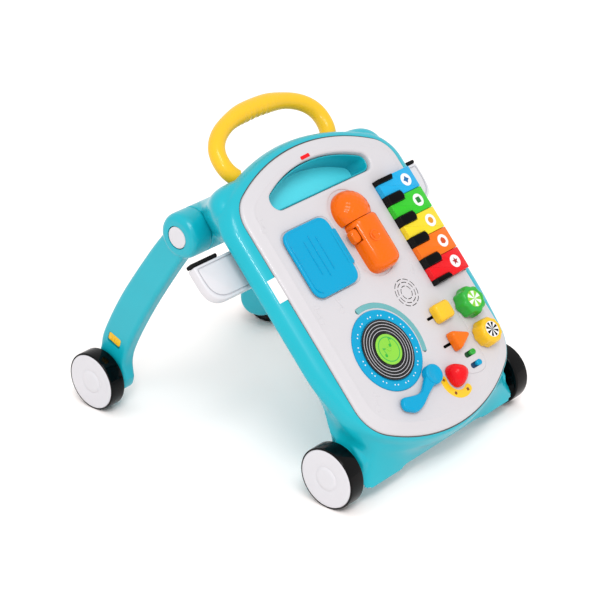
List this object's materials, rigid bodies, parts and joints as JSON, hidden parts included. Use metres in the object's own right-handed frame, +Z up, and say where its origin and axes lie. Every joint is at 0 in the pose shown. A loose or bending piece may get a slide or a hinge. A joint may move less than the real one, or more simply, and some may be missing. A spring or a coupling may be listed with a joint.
{
  "type": "baby walker",
  "caption": "Push-along baby walker: sloped teal frame on wheels, yellow push handle, fold-forward rear legs and a white lift-off music station with keys, turntable, microphone and knobs.",
  "frame": {"origin": "centre of the bounding box at the floor", "axes": "+Z up, the sloped play panel faces -Y, X across the walker"},
  "size_m": [0.47, 0.5728, 0.4592],
  "materials": {
    "teal_plastic": "gloss",
    "white_plastic": "gloss",
    "black_plastic": "gloss",
    "yellow_plastic": "gloss",
    "blue_plastic": "gloss",
    "orange_plastic": "gloss",
    "red_plastic": "gloss",
    "green_plastic": "gloss",
    "tyre": "gloss",
    "foot_rubber": "matte",
    "steel": "satin",
    "board": "matte",
    "speaker_cone": "matte",
    "light_window": "gloss"
  },
  "bodies": {
    "frame": {"front_frame": "teal_plastic", "push_handle": "yellow_plastic", "frame_back_cover": "teal_plastic", "front_axle": "steel", "leg_pivot_left": "steel", "leg_pivot_right": "steel", "stand_pin_left": "steel", "stand_pin_right": "steel"},
    "front_wheel_left": {"front_left_wheel": "white_plastic", "front_left_tyre": "tyre"},
    "rear_wheel_left": {"rear_left_wheel": "white_plastic", "rear_left_tyre": "tyre"},
    "leg_left": {"rear_leg_left": "teal_plastic", "rear_axle_left": "steel"},
    "leg_lock_left": {"lock_button_left": "white_plastic"},
    "drag_left": {"drag_switch_left": "yellow_plastic"},
    "stand_left": {"stand_leg_left": "white_plastic", "stand_pad_left": "foot_rubber"},
    "front_wheel_right": {"front_right_wheel": "white_plastic", "front_right_tyre": "tyre"},
    "rear_wheel_right": {"rear_right_wheel": "white_plastic", "rear_right_tyre": "tyre"},
    "leg_right": {"rear_leg_right": "teal_plastic", "rear_axle_right": "steel"},
    "leg_lock_right": {"lock_button_right": "white_plastic"},
    "drag_right": {"drag_switch_right": "yellow_plastic"},
    "stand_right": {"stand_leg_right": "white_plastic", "stand_pad_right": "foot_rubber"},
    "station": {"station_front_shell": "white_plastic", "station_back_shell": "white_plastic", "battery_door": "white_plastic", "battery_door_screw": "steel", "circuit_board": "board", "speaker_driver": "speaker_cone", "light_window": "light_window", "black_keys": "black_plastic", "page_pin": "steel", "microphone_body": "orange_plastic", "microphone_head": "orange_plastic"},
    "red_key": {"key_red": "red_plastic"},
    "orange_key": {"key_orange": "orange_plastic"},
    "yellow_key": {"key_yellow": "yellow_plastic"},
    "green_key": {"key_green": "green_plastic"},
    "blue_key": {"key_blue": "blue_plastic"},
    "page": {"flip_page": "blue_plastic"},
    "mic_button": {"microphone_button": "orange_plastic"},
    "turntable": {"turntable_platter": "blue_plastic", "record": "black_plastic", "record_label": "green_plastic"},
    "arm": {"tone_arm": "blue_plastic"},
    "square_slider": {"slider_square": "yellow_plastic"},
    "triangle_slider": {"slider_triangle": "orange_plastic"},
    "green_knob": {"knob_green": "green_plastic"},
    "yellow_knob": {"knob_yellow": "yellow_plastic"},
    "selector": {"selector_knob": "red_plastic"},
    "power_slide": {"power_switch": "green_plastic"},
    "volume_slide": {"volume_switch": "blue_plastic"}
  },
  "joints": [
    {"name": "front_wheel_spin_left", "type": "hinge", "parent": "frame", "child": "front_wheel_left", "pos_m": [-0.186, -0.2095, 0.0444], "axis": [1, 0, 0], "continuous": true},
    {"name": "leg_fold_left", "type": "hinge", "parent": "frame", "child": "leg_left", "pos_m": [-0.144, 0.0704, 0.3095], "axis": [-1, 0, 0], "range_deg": [0, 64]},
    {"name": "rear_wheel_spin_left", "type": "hinge", "parent": "leg_left", "child": "rear_wheel_left", "pos_m": [-0.186, 0.24235, 0.0444], "axis": [1, 0, 0], "continuous": true},
    {"name": "leg_lock_press_left", "type": "slide", "parent": "leg_left", "child": "leg_lock_left", "axis": [1, 0, 0], "range_m": [0, 0.004], "stiffness_N_per_m": 300, "springref_m": -0.002},
    {"name": "drag_slide_left", "type": "slide", "parent": "leg_left", "child": "drag_left", "axis": [0, 0.3811, -0.9245], "range_m": [0, 0.004]},
    {"name": "stand_fold_left", "type": "hinge", "parent": "frame", "child": "stand_left", "pos_m": [-0.16, -0.04828, 0.27085], "axis": [-1, 0, 0], "range_deg": [0, 90]},
    {"name": "front_wheel_spin_right", "type": "hinge", "parent": "frame", "child": "front_wheel_right", "pos_m": [0.186, -0.2095, 0.0444], "axis": [1, 0, 0], "continuous": true},
    {"name": "leg_fold_right", "type": "hinge", "parent": "frame", "child": "leg_right", "pos_m": [0.144, 0.0704, 0.3095], "axis": [-1, 0, 0], "range_deg": [0, 64]},
    {"name": "rear_wheel_spin_right", "type": "hinge", "parent": "leg_right", "child": "rear_wheel_right", "pos_m": [0.186, 0.24235, 0.0444], "axis": [1, 0, 0], "continuous": true},
    {"name": "leg_lock_press_right", "type": "slide", "parent": "leg_right", "child": "leg_lock_right", "axis": [-1, 0, 0], "range_m": [0, 0.004], "stiffness_N_per_m": 300, "springref_m": -0.002},
    {"name": "drag_slide_right", "type": "slide", "parent": "leg_right", "child": "drag_right", "axis": [0, 0.3811, -0.9245], "range_m": [0, 0.004]},
    {"name": "stand_fold_right", "type": "hinge", "parent": "frame", "child": "stand_right", "pos_m": [0.16, -0.04828, 0.27085], "axis": [-1, 0, 0], "range_deg": [0, 90]},
    {"name": "station_lift", "type": "slide", "parent": "frame", "child": "station", "axis": [0, -0.762, 0.6476], "range_m": [0, 0.1]},
    {"name": "red_key_press", "type": "hinge", "parent": "station", "child": "red_key", "pos_m": [0.084, -0.15926, 0.22055], "axis": [0, 0.6476, 0.762], "range_deg": [0, 3.5], "stiffness_Nm_per_rad": 0.5, "springref_deg": -3.44},
    {"name": "orange_key_press", "type": "hinge", "parent": "station", "child": "orange_key", "pos_m": [0.084, -0.13751, 0.24615], "axis": [0, 0.6476, 0.762], "range_deg": [0, 3.5], "stiffness_Nm_per_rad": 0.5, "springref_deg": -3.44},
    {"name": "yellow_key_press", "type": "hinge", "parent": "station", "child": "yellow_key", "pos_m": [0.084, -0.11575, 0.27175], "axis": [0, 0.6476, 0.762], "range_deg": [0, 3.5], "stiffness_Nm_per_rad": 0.5, "springref_deg": -3.44},
    {"name": "green_key_press", "type": "hinge", "parent": "station", "child": "green_key", "pos_m": [0.084, -0.09399, 0.29736], "axis": [0, 0.6476, 0.762], "range_deg": [0, 3.5], "stiffness_Nm_per_rad": 0.5, "springref_deg": -3.44},
    {"name": "blue_key_press", "type": "hinge", "parent": "station", "child": "blue_key", "pos_m": [0.084, -0.07223, 0.32296], "axis": [0, 0.6476, 0.762], "range_deg": [0, 3.5], "stiffness_Nm_per_rad": 0.5, "springref_deg": -3.44},
    {"name": "page_turn", "type": "hinge", "parent": "station", "child": "page", "pos_m": [-0.1215, -0.10817, 0.2955], "axis": [0, -0.6476, -0.762], "range_deg": [0, 160]},
    {"name": "mic_button_press", "type": "slide", "parent": "station", "child": "mic_button", "axis": [1, 0, 0], "range_m": [0, 0.003], "stiffness_N_per_m": 200, "springref_m": -0.002},
    {"name": "turntable_spin", "type": "hinge", "parent": "station", "child": "turntable", "pos_m": [-0.0594, -0.20373, 0.1775], "axis": [0, -0.762, 0.6476], "continuous": true},
    {"name": "arm_swing", "type": "hinge", "parent": "station", "child": "arm", "pos_m": [-0.016, -0.24207, 0.13239], "axis": [0, 0.762, -0.6476], "range_deg": [0, 20]},
    {"name": "square_slider_slide", "type": "slide", "parent": "station", "child": "square_slider", "axis": [1, 0, 0], "range_m": [-0.024, 0]},
    {"name": "triangle_slider_slide", "type": "slide", "parent": "station", "child": "triangle_slider", "axis": [1, 0, 0], "range_m": [-0.024, 0]},
    {"name": "green_knob_turn", "type": "hinge", "parent": "station", "child": "green_knob", "pos_m": [0.116, -0.20256, 0.17887], "axis": [0, -0.762, 0.6476], "continuous": true},
    {"name": "yellow_knob_turn", "type": "hinge", "parent": "station", "child": "yellow_knob", "pos_m": [0.115, -0.23429, 0.14153], "axis": [0, -0.762, 0.6476], "continuous": true},
    {"name": "selector_turn", "type": "hinge", "parent": "station", "child": "selector", "pos_m": [0.024, -0.25307, 0.11943], "axis": [0, -0.762, 0.6476], "range_deg": [-40, 40]},
    {"name": "power_switch_slide", "type": "slide", "parent": "station", "child": "power_slide", "axis": [1, 0, 0], "range_m": [-0.011, 0]},
    {"name": "volume_switch_slide", "type": "slide", "parent": "station", "child": "volume_slide", "axis": [1, 0, 0], "range_m": [-0.011, 0]}
  ]
}
